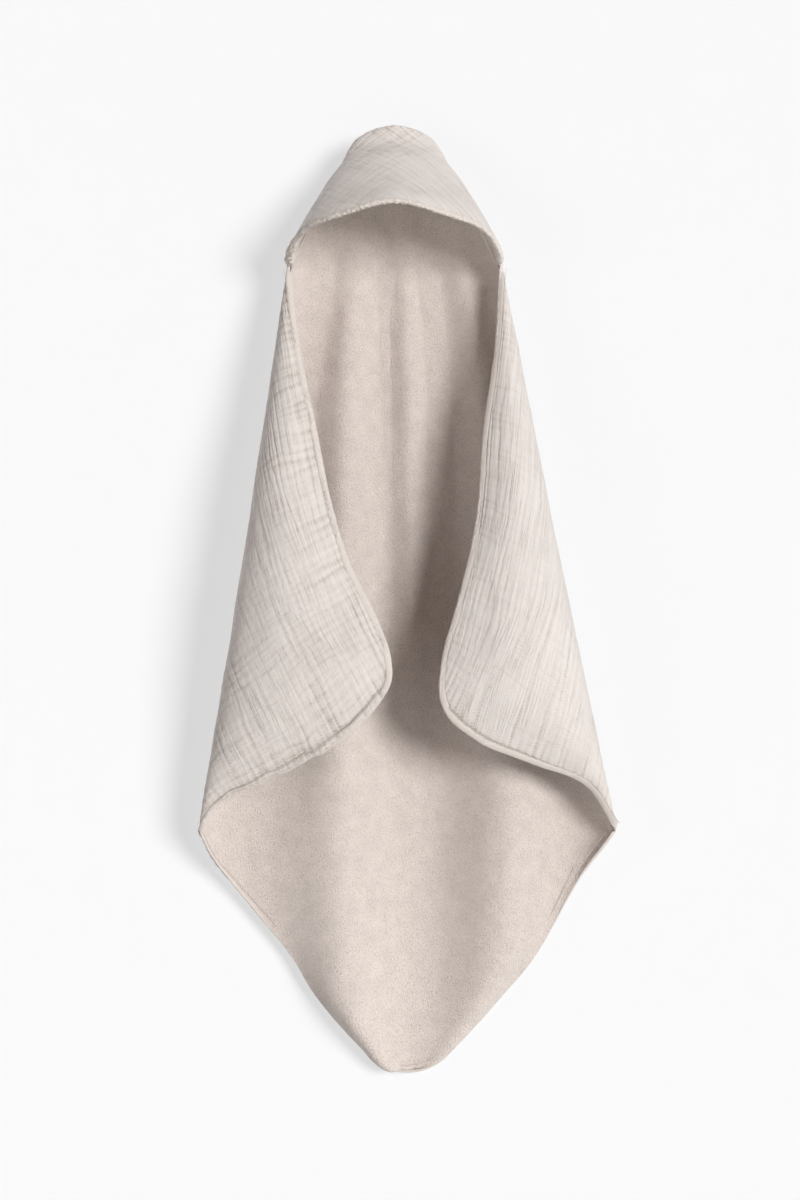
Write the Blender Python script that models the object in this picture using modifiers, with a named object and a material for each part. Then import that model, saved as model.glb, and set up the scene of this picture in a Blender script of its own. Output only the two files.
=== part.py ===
"""A square hooded baby towel hanging by its loop from a wall hook.

Two layers of cloth, crinkled muslin outside and terry inside, hang from the hood's corner
with both side corners folded forward as flaps. The frame is metres with +Z up, +X to the
right and the wall towards +Y. The origin is the hook point, inside the top of the hanging
loop. Places on the cloth are given on the flat square: "across" from its upright diagonal
and "down" that diagonal from the hood's corner.
"""
import math

import bpy
import numpy as np

# the flat cloth
towel_side = 0.80
corner_radius = 0.065
hood_leg = 0.26  # hood seam along each upper edge, from the square's corner
fold_low_half = 0.30  # flat half width where the side fold meets the lower edge
muslin_thick = 0.0012
terry_thick = 0.0030
layer_gap = 0.0004

# how it hangs
apex_rise = 0.015  # top of the hood above the hook point
wall_distance = 0.020  # hook point to wall
wall_gap = 0.0003
hang_share = 0.984  # hung height of a flat length
gather_hood_mid = 0.80  # hung half width over flat half width, at five levels
gather_hood_end = 0.647
gather_fold_end = 0.778
lean_top = -0.006  # sideways place of the middle at the hood's end and at the fold's end
lean_low = 0.0085
top_stand = 0.0265  # how far the back hangs off the wall behind the hood
return_share = 0.60  # below the loop it comes back to the wall over this share of the hood
press = 0.0030  # how far the wall flattens the folds that touch it

# distance of the sides from the wall
seam_depth_top = 0.036
seam_depth_end = 0.045
fold_depth = 0.062
fold_depth_end = 0.050
lower_depth = 0.020
tip_depth = 0.012

# hood and flaps
hood_pitch = math.radians(31)  # the hood's mouth leans up this much from level
hood_least = 0.014  # least standing of the hood in front of its seams
flap_stand = 0.075  # a flap's corner in front of its fold
fold_gap = 0.0030  # half the cut between the back and a flap
fold_radius = 0.035
hinge_shift = 0.57 * fold_radius  # a half turn of cloth unrolls about a line this far outside it
flap_from = 0.08  # a flap's solid runs over this share of its fold
flap_to = 0.93

# edges and stitches
binding_radius = 0.0028
seam_radius = 0.0025
roll_radius = 0.0030
thread_radius = 0.0004
binding_from = 0.012  # the lower binding starts this far below the fold's end
groove = 0.0030  # between the cloth's cut edge and the binding bead, with the thread in it
edge_clear = 0.0010
first_row = 0.002  # the cloth's top and bottom rows, in from where its cut edge comes to a point
last_row = 0.001
tape_width = 0.007
tape_thick = 0.0006
tape_inset = 0.002  # from the cloth's cut edge
tape_clear = 0.0008
tape_from = 0.5  # the tape shows inside the lower half of the hood

# hanging loop and blank care label, behind the hood
loop_radius = 0.0020
loop_half = 0.009
loop_seam_drop = 0.036  # hook point to the loop's seam
leg_lift = 0.0005  # the loop's ends above its seam line
tack_size = (0.006, 0.0028, 0.0024)
tack_drop = 0.0035  # below the loop's seam
tack_off = 0.0006  # the tacks in front of the loop's middle
label_size = (0.022, 0.0006, 0.034)
label_side = -0.032
label_off = -0.0008
label_drop = 0.014  # below the loop's seam
label_lean = math.radians(15)
label_play = 0.0006  # between the label and its stitches' line
label_stitch_size = (0.020, 0.0010, 0.0012)

# folds down the back: place, width and height at the hood's end, then at the tip, where a
# height below zero means that the fold dies out on the way
back_folds = (
    (-0.047, 0.014, 0.012, -0.052, 0.036, 0.020),
    (0.012, 0.012, 0.010, 0.034, 0.016, -0.008),
    (0.073, 0.013, 0.009, 0.100, 0.036, 0.018),
    (-0.095, 0.014, 0.005, -0.150, 0.030, 0.010),
)

# a flap's free edge from the hood's end round its corner to the fold's end: share of the edge,
# share of the fold's height, reach from the fold to the middle, and share of flap_stand
left_free_edge = (
    (0.0, 0.0, 0.02, 0.0), (0.11, 0.138, 0.178, 0.25), (0.236, 0.295, 0.39, 0.5),
    (0.338, 0.418, 0.527, 0.68), (0.434, 0.534, 0.683, 0.82), (0.505, 0.615, 0.829, 0.92),
    (0.573, 0.693, 0.926, 1.0), (0.605, 0.73, 0.93, 1.0), (0.65, 0.773, 0.858, 0.96),
    (0.714, 0.824, 0.711, 0.85), (0.808, 0.879, 0.459, 0.6), (0.888, 0.917, 0.24, 0.35),
    (0.954, 0.947, 0.075, 0.12), (1.0, 1.0, 0.0, 0.0),
)
right_free_edge = (
    (0.0, 0.0, 0.02, 0.0), (0.11, 0.138, 0.165, 0.25), (0.23, 0.295, 0.367, 0.5),
    (0.345, 0.44, 0.485, 0.7), (0.49, 0.617, 0.693, 0.9), (0.545, 0.68, 0.77, 0.97),
    (0.594, 0.748, 0.811, 1.0), (0.633, 0.786, 0.788, 1.0), (0.70, 0.833, 0.643, 0.88),
    (0.806, 0.876, 0.368, 0.6), (0.92, 0.923, 0.088, 0.2), (1.0, 1.0, 0.0, 0.0),
)

# how finely the cloth is cut into faces
hood_back_rows = 6
middle_rows = 11
lower_rows = 6
back_columns = 20
hood_rows = 8
hood_columns = 14
flap_rows = 20
flap_columns = 8

root_two = math.sqrt(2)
diagonal = towel_side * root_two
corner_loss = corner_radius * (root_two - 1)
top = corner_loss
tip = diagonal - corner_loss
hood_end = hood_leg / root_two
fold_end = diagonal - fold_low_half
tack_level = top + (apex_rise + loop_seam_drop + tack_drop + tack_size[2] + 0.004) / hang_share
label_place = (label_side, label_off, -loop_seam_drop - label_drop)
rear_y = wall_distance - wall_gap - muslin_thick - layer_gap / 2
seam_inset = 2 * seam_radius + edge_clear
binding_inset = 2 * binding_radius + groove
thread_inset = 2 * binding_radius + groove / 2


def flat_half(down, inset=0.0):
    """Half the width of the rounded square, with its upper and lower legs moved in by inset."""
    to_corner = min(down, diagonal - down)
    radius = corner_radius - inset
    centre = corner_radius * root_two
    if to_corner >= centre - radius / root_two:
        return to_corner - inset * root_two
    return math.sqrt(max(radius ** 2 - (centre - to_corner) ** 2, 0.0))


def edge_half(down):
    """Half the flat width of the back: to the hood seam, then the fold, then the lower edge."""
    if hood_end < down < fold_end:
        return float(np.interp(down, (hood_end, fold_end), (hood_end, fold_low_half)))
    return flat_half(down)


def gather(down):
    levels = (top + corner_loss * 0.6, 0.4 * hood_end, hood_end, fold_end, tip)
    return float(np.interp(down, levels,
                           (1.0, gather_hood_mid, gather_hood_end, gather_fold_end, 1.0)))


def height(down):
    return apex_rise - (down - top) * hang_share


def middle(down):
    return float(np.interp(down, (hood_end, fold_end), (lean_top, lean_low)))


def side_depth(down):
    """Distance of the seam, fold or lower edge from the wall."""
    levels = (top, hood_end, (hood_end + fold_end) / 2, fold_end,
              fold_end + 0.35 * (tip - fold_end), tip)
    return float(np.interp(down, levels, (seam_depth_top, seam_depth_end, fold_depth,
                                          fold_depth_end, lower_depth, tip_depth)))


def ease(share):
    share = min(max(share, 0.0), 1.0)
    return share * share * (3 - 2 * share)


def folds_at(x, down):
    """How far the back's upright folds stand forward at each place x of one level."""
    share = min(max((down - hood_end) / (tip - hood_end), 0.0), 1.0)
    start = ease((down - top) / (hood_end - top))
    total = np.zeros_like(x)
    for x_top, wide_top, high_top, x_low, wide_low, high_low in back_folds:
        place = x_top + (x_low - x_top) * share
        wide = wide_top + (wide_low - wide_top) * share
        high = max(high_top + (high_low - high_top) * share, 0.0)
        total += high * np.exp(-((x - place) / wide) ** 2)
    return total * start


class Row:
    """One row of cloth, read by the share of its length from -1 at the left to 1 at the right."""

    def __init__(self, points):
        self.points = np.array(points)
        steps = np.linalg.norm(np.diff(self.points, axis=0), axis=1)
        self.lengths = np.concatenate(([0.0], np.cumsum(steps)))
        self.length = self.lengths[-1]

    def at(self, share):
        return self.along(self.length * (share + 1) / 2)

    def along(self, distance):
        return tuple(float(np.interp(distance, self.lengths, self.points[:, i])) for i in range(3))


def back_row(down):
    """The back between its two sides: flat to the wall, curving forward to each side."""
    half = edge_half(down) * gather(down)
    stand = top_stand * (1 - ease((down - tack_level) / (return_share * hood_end)))
    depth = side_depth(down) - stand
    roundness = 2 / (2.4 if down < fold_end else 2.0)
    angle = np.linspace(-math.pi / 2, math.pi / 2, 181)
    x = half * np.sign(np.sin(angle)) * np.abs(np.sin(angle)) ** roundness
    off = stand + depth * (1 - np.abs(np.cos(angle)) ** roundness)
    calm = 1 - np.abs(x / half) ** 6
    off = off + folds_at(x + middle(down), down) * calm
    off = np.maximum(off - press, 0.0)
    return Row(np.column_stack((x + middle(down), rear_y - off, np.full_like(x, height(down)))))


def hood_row(down):
    """The hood between its seams: an arch that keeps its flat width, leaning up and forward."""
    half = edge_half(down) * gather(down)
    ring = 2 * (2 * edge_half(down) / math.pi) ** 2 - half ** 2
    stand = math.sqrt(max(ring, 0.0) + hood_least ** 2)
    angle = np.linspace(-math.pi / 2, math.pi / 2, 91)
    y = rear_y - side_depth(down) - stand * math.cos(hood_pitch) * np.cos(angle)
    z = height(down) + stand * math.sin(hood_pitch) * np.cos(angle)
    return Row(np.column_stack((middle(down) + half * np.sin(angle), y, z)))


def smooth(table, share):
    """The table's columns at this share of its first one, on a smooth curve through its points."""
    table = np.array(table)
    keys = table[:, 0]
    slopes = np.gradient(table[:, 1:], keys, axis=0)
    i = int(min(max(np.searchsorted(keys, share) - 1, 0), len(keys) - 2))
    span = keys[i + 1] - keys[i]
    u = (share - keys[i]) / span
    low, high = table[i, 1:], table[i + 1, 1:]
    return (low * (1 + 2 * u) * (1 - u) ** 2 + high * u * u * (3 - 2 * u)
            + slopes[i] * span * u * (1 - u) ** 2 - slopes[i + 1] * span * u * u * (1 - u))


def side_point(side, down):
    """The hood seam, the side fold or the lower edge at this level."""
    half = edge_half(down) * gather(down)
    return (middle(down) + side * half, rear_y - side_depth(down), height(down))


def flap_row(side, share):
    """One row of a flap, from its fold to its free edge: a quarter turn forward and inward."""
    fold = side_point(side, hood_end + (fold_end - hood_end) * share)
    table = left_free_edge if side < 0 else right_free_edge
    level, reach, stand = smooth(table, share)
    down = hood_end + (fold_end - hood_end) * float(level)
    outer = side_point(side, down)
    edge_x = outer[0] + (middle(down) - outer[0]) * float(reach)
    edge_y = outer[1] - flap_stand * float(stand)
    turn = np.linspace(0.0, math.pi / 2, 61)
    inward = 1 - np.cos(turn)
    return Row(np.column_stack((fold[0] + (edge_x - fold[0]) * inward,
                                fold[1] + (edge_y - fold[1]) * np.sin(turn),
                                fold[2] + (outer[2] - fold[2]) * inward)))


def edge_slant(side, share):
    """The sine of the angle at which a flap's row meets its free edge."""
    before = np.array(flap_row(side, share - 0.01).points[-1])
    after = np.array(flap_row(side, share + 0.01).points[-1])
    end = flap_row(side, share).points
    edge_way = (after - before) / np.linalg.norm(after - before)
    row_way = (end[-1] - end[-4]) / np.linalg.norm(end[-1] - end[-4])
    return float(np.linalg.norm(np.cross(edge_way, row_way)))


def flat_outline(inset, upper):
    """Half of the square's outline, inset, as across and down, from left to right."""
    radius = corner_radius - inset
    centre = corner_radius * root_two
    far = hood_end if upper else fold_low_half
    near = centre - radius / root_two
    leg = [(reach - inset * root_two, reach) for reach in np.linspace(far, near, 12)]
    arc = [(radius * math.sin(a), centre - radius * math.cos(a))
           for a in np.linspace(math.pi / 4, 0, 5)[1:]]
    right = leg + arc
    points = [(-across, down) for across, down in right] + right[-2::-1]
    if upper:
        return points
    return [(across, diagonal - down) for across, down in points]


def material(name, colour, roughness):
    found = bpy.data.materials.new(name)
    found.use_nodes = True
    shader = found.node_tree.nodes["Principled BSDF"]
    shader.inputs["Base Color"].default_value = (*colour, 1.0)
    shader.inputs["Roughness"].default_value = roughness
    shader.inputs["Metallic"].default_value = 0.0
    return found


def add(name, data, collection, finish, hinge=None):
    obj = bpy.data.objects.new(name, data)
    data.materials.append(finish)
    collection.objects.link(obj)
    if hinge:
        obj.parent = hinge
        obj.location = -hinge.location
    return obj


def sheet(name, rows, offset, thick, collection, finish, outward, hinge=None):
    """A layer of cloth: a grid of points moved off the line between the layers, with a thickness.

    offset is positive on the muslin's side. outward turns the grid's faces to that side.
    """
    columns = len(rows[0])
    points = [point for row in rows for point in row]
    faces = []
    for r in range(len(rows) - 1):
        for c in range(columns - 1):
            corner = r * columns + c
            face = (corner, corner + columns, corner + columns + 1, corner + 1)
            faces.append(face if outward else face[::-1])
    mesh = bpy.data.meshes.new(name)
    mesh.from_pydata(points, [], faces)
    mesh.shade_smooth()
    obj = add(name, mesh, collection, finish, hinge)
    move = obj.modifiers.new("off_the_middle", "DISPLACE")
    move.mid_level = 0.0
    move.strength = offset
    wall = obj.modifiers.new("thickness", "SOLIDIFY")
    wall.thickness = thick
    wall.offset = 1.0 if offset > 0 else -1.0
    return obj


def layers(names, rows, collection, finishes, outward, hinge=None):
    """The muslin outside and the terry inside, either side of the same points."""
    outer = sheet(names[0], rows, layer_gap / 2, muslin_thick, collection, finishes[0],
                  outward, hinge)
    inner = sheet(names[1], rows, -layer_gap / 2, terry_thick, collection, finishes[1],
                  outward, hinge)
    return outer, inner


def cord(name, points, radius, collection, finish, hinge=None):
    """A round bead, thread or rouleau along these points."""
    curve = bpy.data.curves.new(name, "CURVE")
    curve.dimensions = "3D"
    curve.bevel_depth = radius
    curve.bevel_resolution = 2
    curve.use_fill_caps = True
    spline = curve.splines.new("POLY")
    spline.points.add(len(points) - 1)
    for target, point in zip(spline.points, points):
        target.co = (*point, 1.0)
    return add(name, curve, collection, finish, hinge)


def box(name, size, place, collection, finish, hinge=None, lean=0.0):
    """A small flat-sided piece whose top edge's middle is at place, leaning about X."""
    bpy.ops.mesh.primitive_cube_add(size=1.0)
    obj = bpy.context.object
    obj.name = name
    mesh = obj.data
    mesh.name = name
    mesh.materials.append(finish)
    for vertex in mesh.vertices:
        vertex.co.x *= size[0]
        vertex.co.y *= size[1]
        vertex.co.z = (vertex.co.z - 0.5) * size[2]
    for holder in list(obj.users_collection):
        holder.objects.unlink(obj)
    collection.objects.link(obj)
    obj.rotation_euler = (lean, 0.0, 0.0)
    obj.location = place
    if hinge:
        obj.parent = hinge
        obj.location = [a - b for a, b in zip(place, hinge.location)]
    return obj


def hinge_at(name, place, collection):
    empty = bpy.data.objects.new(name, None)
    empty.location = place
    collection.objects.link(empty)
    return empty


def back_levels():
    """How far down each row of the main cloth lies, closest together behind the hood."""
    levels = list(np.linspace(top + seam_inset + first_row, hood_end, hood_back_rows + 1))
    levels += list(np.linspace(hood_end, fold_end, middle_rows + 1)[1:])
    levels += list(np.linspace(fold_end, tip - binding_inset - last_row, lower_rows + 1)[1:])
    return levels


def back_cells(down):
    """The main cloth's points across one level, clear of its seams, folds and binding."""
    edge = edge_half(down)
    if down <= hood_end:
        cut = flat_half(down, seam_inset)
    elif down < fold_end:
        cut = edge - fold_gap
    else:
        cut = flat_half(down, binding_inset)
    row = back_row(down)
    return [row.at(share) for share in np.linspace(-cut / edge, cut / edge, back_columns + 1)]


def build_back(collection, finishes):
    """The main cloth: behind the hood, between the folds, and down to the tip."""
    rows = [back_cells(down) for down in back_levels()]
    layers(("muslin_back", "terry_back"), rows, collection, finishes, False)


def build_hood(collection, finishes, roll_finish, seam_finish, tape_finish):
    """The hood's two layers, its rolled front edge, its seam and the tape over that inside."""
    rows = []
    for down in np.linspace(top + seam_inset + first_row, hood_end - 2 * roll_radius - edge_clear,
                            hood_rows):
        row = hood_row(down)
        cut = flat_half(down, seam_inset) / flat_half(down)
        rows.append([row.at(share) for share in np.linspace(-cut, cut, hood_columns + 1)])
    layers(("hood_outer", "hood_lining"), rows, collection, finishes, True)

    front = hood_row(hood_end - roll_radius)
    reach = 1 - (seam_inset + roll_radius) / hood_end
    cord("hood_front_roll", [front.at(share) for share in np.linspace(-reach, reach, 31)],
         roll_radius, collection, roll_finish)

    seam = []
    for across, down in flat_outline(seam_radius, True):
        seam.append((middle(down) + across * gather(down), rear_y - side_depth(down),
                     height(down)))
    cord("hood_seam", seam, seam_radius, collection, seam_finish)

    levels = [down for down in back_levels() if tape_from * hood_end < down <= hood_end]
    for name, first, second in (("seam_tape_left", 0, 1), ("seam_tape_right", -1, -2)):
        rows = []
        for down in levels:
            cells = back_cells(down)
            outer = np.array(cells[first])
            inner = np.array(cells[second])
            across = np.linalg.norm(inner - outer)
            shares = (tape_inset / across, (tape_inset + tape_width) / across)
            rows.append([tuple(outer + (inner - outer) * share) for share in shares])
        sheet(name, rows, -(layer_gap / 2 + terry_thick + tape_clear), tape_thick, collection,
              tape_finish, first != 0)


def build_lower_edge(collection, binding_finish, thread_finish):
    """The binding and its stitches along both lower edges and round the tip."""
    for name, inset, radius, finish in (
            ("binding_lower", binding_radius, binding_radius, binding_finish),
            ("stitching_lower", thread_inset, thread_radius, thread_finish)):
        points = []
        for across, down in flat_outline(inset, False):
            if down > fold_end + binding_from:
                points.append(back_row(down).at(across / flat_half(down)))
        cord(name, points, radius, collection, finish)


def build_flap(side, word, collection, hinge, finishes, binding_finish, thread_finish):
    """One side corner folded forward: two layers, their binding and its stitches."""
    rows = []
    beads = []
    threads = []
    for share in np.linspace(flap_from, flap_to, flap_rows + 1):
        row = flap_row(side, share)
        slant = edge_slant(side, share)
        cloth_end = row.length - binding_inset / slant
        distances = np.linspace(fold_gap, cloth_end, flap_columns + 1)
        rows.append([row.along(distance) for distance in distances])
        beads.append(row.along(row.length - binding_radius / slant))
        threads.append(row.along(row.length - thread_inset / slant))
    layers((f"muslin_{word}_flap", f"terry_{word}_flap"), rows, collection, finishes,
           side > 0, hinge)
    cord(f"binding_{word}_flap", beads, binding_radius, collection, binding_finish, hinge)
    cord(f"stitching_{word}_flap", threads, thread_radius, collection, thread_finish, hinge)


def build_loop(collection, hinge, loop_finish, thread_finish):
    """The rouleau loop over the hook, and the two bar tacks that hold its ends."""
    arc_height = loop_seam_drop + loop_radius - loop_half
    points = [(-loop_half, 0.0, height_up) for height_up in np.linspace(leg_lift, arc_height, 4)]
    points += [(-loop_half * math.cos(a), 0.0, arc_height + loop_half * math.sin(a))
               for a in np.linspace(0, math.pi, 9)[1:-1]]
    points += [(loop_half, 0.0, height_up) for height_up in np.linspace(arc_height, leg_lift, 4)]
    loop = cord("hanging_loop", points, loop_radius, collection, loop_finish, hinge)
    loop.location = (0.0, 0.0, 0.0)

    for x, name in ((-loop_half, "loop_tack_left"), (loop_half, "loop_tack_right")):
        place = (x, -tack_size[1] / 2 - tack_off, -loop_seam_drop - tack_drop)
        box(name, tack_size, place, collection, thread_finish)


def build_label(collection, hinge, label_finish, thread_finish):
    """A blank folded care label, and the row of stitches that holds it."""
    label = box("care_label", label_size, label_place, collection, label_finish, hinge, label_lean)
    label.location = (0.0, 0.0, -label_play)
    edge = label.modifiers.new("soft_edges", "BEVEL")
    edge.width = 0.0002
    edge.segments = 1
    x, y, z = label_place
    top_edge = (x, y, z + label_stitch_size[2] + label_play)
    box("label_stitching", label_stitch_size, top_edge, collection, thread_finish)


def main():
    for old in list(bpy.data.objects):
        bpy.data.objects.remove(old, do_unlink=True)
    collection = bpy.data.collections.new("hooded_towel")
    bpy.context.scene.collection.children.link(collection)

    muslin = material("crinkled muslin", (0.70, 0.64, 0.58), 0.9)
    terry = material("cotton terry", (0.62, 0.53, 0.46), 0.95)
    binding = material("muslin binding", (0.72, 0.66, 0.60), 0.85)
    roll = material("terry roll", (0.70, 0.62, 0.55), 0.95)
    thread = material("cotton thread", (0.66, 0.59, 0.53), 0.8)
    satin = material("woven label", (0.86, 0.85, 0.82), 0.6)
    finishes = (muslin, terry)

    build_back(collection, finishes)
    build_hood(collection, finishes, roll, muslin, binding)
    build_lower_edge(collection, binding, thread)
    middle_down = (hood_end + fold_end) / 2
    for side, word in ((-1, "left"), (1, "right")):
        ends = [side_point(side, down) for down in (hood_end, fold_end)]
        place = ((ends[0][0] + ends[1][0]) / 2 + side * hinge_shift,
                 (ends[0][1] + ends[1][1]) / 2, height(middle_down))
        hinge = hinge_at(f"{word}_fold_line", place, collection)
        build_flap(side, word, collection, hinge, finishes, binding, thread)
    build_loop(collection, hinge_at("loop_seam", (0.0, 0.0, -loop_seam_drop), collection),
               binding, thread)
    build_label(collection, hinge_at("label_seam", label_place, collection), satin, thread)


main()
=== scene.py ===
# A hooded baby towel hanging on a wall: crinkled muslin outside, terry inside.
import math

import bpy
import numpy as np
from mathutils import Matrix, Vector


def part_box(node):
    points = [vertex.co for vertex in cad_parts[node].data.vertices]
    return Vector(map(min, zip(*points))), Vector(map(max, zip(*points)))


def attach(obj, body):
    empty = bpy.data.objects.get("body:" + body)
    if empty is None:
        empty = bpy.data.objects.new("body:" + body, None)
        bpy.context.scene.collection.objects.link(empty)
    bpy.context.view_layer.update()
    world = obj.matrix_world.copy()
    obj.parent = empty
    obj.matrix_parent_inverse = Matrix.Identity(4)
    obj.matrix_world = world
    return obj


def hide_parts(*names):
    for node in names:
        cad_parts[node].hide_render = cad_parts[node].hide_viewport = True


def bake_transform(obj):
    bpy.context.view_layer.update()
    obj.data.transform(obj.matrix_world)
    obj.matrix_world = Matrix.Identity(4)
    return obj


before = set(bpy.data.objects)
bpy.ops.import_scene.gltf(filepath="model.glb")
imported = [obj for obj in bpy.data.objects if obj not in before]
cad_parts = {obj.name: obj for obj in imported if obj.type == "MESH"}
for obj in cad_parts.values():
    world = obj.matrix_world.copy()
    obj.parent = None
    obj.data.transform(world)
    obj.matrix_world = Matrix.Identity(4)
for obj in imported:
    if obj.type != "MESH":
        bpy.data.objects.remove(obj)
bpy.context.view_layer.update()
bpy.ops.object.select_all(action="DESELECT")
print("frame loaded")

# the flat cloth, as it was cut
cloth = {
    "side": 0.80,
    "corner": 0.065,  # radius of its rounded corners
    "hoodLeg": 0.26,  # the hood triangle's two equal sides
    "foldLow": 0.30,  # the side folds end this far above the tip, along the diagonal
    "muslin": 0.0012,
    "terry": 0.0030,
    "gap": 0.0004,  # between the two layers
}

# how it hangs, the same form as the solids have
hang = {
    "rise": 0.015,  # its top above the hook's point
    "share": 0.984,  # hung height beside flat height
    "gatherMid": 0.80,  # hung width beside flat width, partway down the hood
    "gatherHood": 0.647,  # where the hood ends
    "gatherFold": 0.778,  # where the side folds end
    "leanTop": -0.006,  # its middle to the left at the hood's end, to the right at the folds'
    "leanLow": 0.0085,
    "topStand": 0.0265,  # how far the back stands off the wall over the loop
    "clearLevel": 0.0888,  # it stays so down to here, and then comes back over a share of the hood
    "returnShare": 0.60,
    "press": 0.0030,  # it lies flat where it would stand less than this off the wall
    "seamTop": 0.036,  # how far the sides stand forward, from the top down to the tip
    "seamEnd": 0.045,
    "fold": 0.062,
    "foldEnd": 0.050,
    "lower": 0.014,
    "lowerShare": 0.22,
    "tip": 0.010,
    "hoodPitch": math.radians(31),  # the hood stands forward, and up at this angle
    "hoodLeast": 0.014,  # at least so far
    "hoodPeak": 0.17,  # how far its front edge is from a plain arch
    "flapStand": 0.055,  # how far a corner's free edge stands forward of its fold
    "flapRound": 4.2,  # the turn at a side fold: 2 is round, and more is squarer
    "flapBelly": 0.28,  # how much further its middle stands than its free edge
    "backRound": 2.8,  # the back's turn to its sides, in the same way
    "tipSag": 0.008,  # the tip's weight draws it down over the last stretch
    "sagFrom": 0.16,
}

# upright folds down the back: centre, width and height at each share of the way down
foldLevels = (0.0, 0.08, 0.17, 0.42, 0.54, 0.70, 1.0)
backFolds = (
    ((-0.050, -0.056, -0.062, -0.066, -0.066, -0.064, -0.060),
     (0.022, 0.024, 0.027, 0.036, 0.042, 0.050, 0.050),
     (0.008, 0.018, 0.024, 0.034, 0.038, 0.040, 0.034)),
    ((0.006, 0.008, 0.011, 0.012, 0.014, 0.016, 0.020),
     (0.014, 0.015, 0.016, 0.018, 0.020, 0.020, 0.020),
     (0.005, 0.011, 0.012, 0.009, 0.005, 0.002, 0.000)),
    ((0.070, 0.086, 0.098, 0.112, 0.116, 0.120, 0.112),
     (0.018, 0.020, 0.022, 0.032, 0.042, 0.056, 0.052),
     (0.007, 0.015, 0.021, 0.030, 0.037, 0.043, 0.035)),
    ((-0.090, -0.095, -0.100, -0.110, -0.114, -0.120, -0.110),
     (0.014, 0.016, 0.018, 0.030, 0.040, 0.055, 0.055),
     (0.002, 0.003, 0.002, 0.000, 0.003, 0.013, 0.010)),
)

# the lower edges wave in and out: share of the way from the fold's end to the tip, and how far
lowerWaves = {
    -1: ((0.0, 0.10, 0.25, 0.38, 0.52, 0.66, 0.80, 0.90, 1.0),
         (0.0, 0.006, 0.001, -0.003, -0.008, -0.001, -0.002, -0.005, 0.0)),
    1: ((0.0, 0.17, 0.31, 0.43, 0.54, 0.73, 1.0),
        (0.0, -0.007, -0.003, 0.003, 0.007, 0.001, 0.0)),
}

# a flap's free edge: share of the edge, share of the fold's height, reach inward, stand forward
freeEdges = {
    -1: (
        (0.0, 0.0, 0.02, 0.0), (0.11, 0.138, 0.178, 0.25), (0.236, 0.295, 0.39, 0.5),
        (0.338, 0.418, 0.527, 0.68), (0.434, 0.534, 0.683, 0.82), (0.505, 0.615, 0.829, 0.92),
        (0.573, 0.693, 0.926, 1.0), (0.605, 0.73, 0.93, 1.0), (0.65, 0.773, 0.858, 0.96),
        (0.714, 0.824, 0.711, 0.85), (0.808, 0.879, 0.459, 0.6), (0.888, 0.917, 0.24, 0.35),
        (0.954, 0.947, 0.075, 0.12), (1.0, 1.0, 0.0, 0.0),
    ),
    1: (
        (0.0, 0.0, 0.02, 0.0), (0.11, 0.138, 0.165, 0.20), (0.23, 0.295, 0.367, 0.42),
        (0.345, 0.44, 0.485, 0.60), (0.49, 0.617, 0.693, 0.82), (0.545, 0.68, 0.77, 0.92),
        (0.594, 0.748, 0.811, 1.0), (0.633, 0.786, 0.788, 1.0), (0.70, 0.833, 0.643, 0.88),
        (0.806, 0.876, 0.368, 0.6), (0.92, 0.923, 0.088, 0.2), (1.0, 1.0, 0.0, 0.0),
    ),
}

hemRipple = {"high": 0.0009, "from": 0.66, "turns": 105.0}  # from this share of the free edge on

rootTwo = math.sqrt(2)
diagonal = cloth["side"] * rootTwo
top = cloth["corner"] * (rootTwo - 1)
tip = diagonal - top
hoodEnd = cloth["hoodLeg"] / rootTwo
foldEnd = diagonal - cloth["foldLow"]
rearY = float(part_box("muslin_back")[1][1]) - cloth["muslin"] - cloth["gap"] / 2


# the form: each place on the flat cloth, given by its distance down the upright diagonal and its
# distance across from it, has its place on the hung one


def ease(share):  # from 0 to 1, slow at both ends
    share = np.clip(share, 0.0, 1.0)
    return share * share * (3 - 2 * share)


def flatHalf(down, inset=0.0):  # half the flat cloth's width
    toCorner = np.minimum(down, diagonal - down)
    radius = cloth["corner"] - inset
    centre = cloth["corner"] * rootTwo
    bow = np.sqrt(np.maximum(radius ** 2 - (centre - toCorner) ** 2, 0.0))
    return np.where(toCorner >= centre - radius / rootTwo, toCorner - inset * rootTwo, bow)


def edgeHalf(down):  # the same, but only as far as the side folds between hood and tip
    between = np.interp(down, (hoodEnd, foldEnd), (hoodEnd, cloth["foldLow"]))
    return np.where((down > hoodEnd) & (down < foldEnd), between, flatHalf(down))


def gather(down):  # how much narrower the cloth hangs than it lies
    levels = (top * 1.6, 0.4 * hoodEnd, hoodEnd, foldEnd, tip)
    shares = (1.0, hang["gatherMid"], hang["gatherHood"], hang["gatherFold"], 1.0)
    return np.interp(down, levels, shares)


def height(down):
    sag = hang["tipSag"] * ease((down - tip + hang["sagFrom"]) / hang["sagFrom"])
    return hang["rise"] - (down - top) * hang["share"] - sag


def middle(down):  # it hangs a little to one side
    return np.interp(down, (hoodEnd, foldEnd), (hang["leanTop"], hang["leanLow"]))


def sideDepth(down):  # how far its side edges stand off the wall
    lower = foldEnd + hang["lowerShare"] * (tip - foldEnd)
    levels = (top, hoodEnd, (hoodEnd + foldEnd) / 2, foldEnd, lower, tip)
    depths = [hang[key] for key in ("seamTop", "seamEnd", "fold", "foldEnd", "lower", "tip")]
    spread = np.linspace(-0.03, 0.03, 9)  # the corners of the curve are eased
    return np.mean([np.interp(down + shift, levels, depths) for shift in spread], axis=0)


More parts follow.
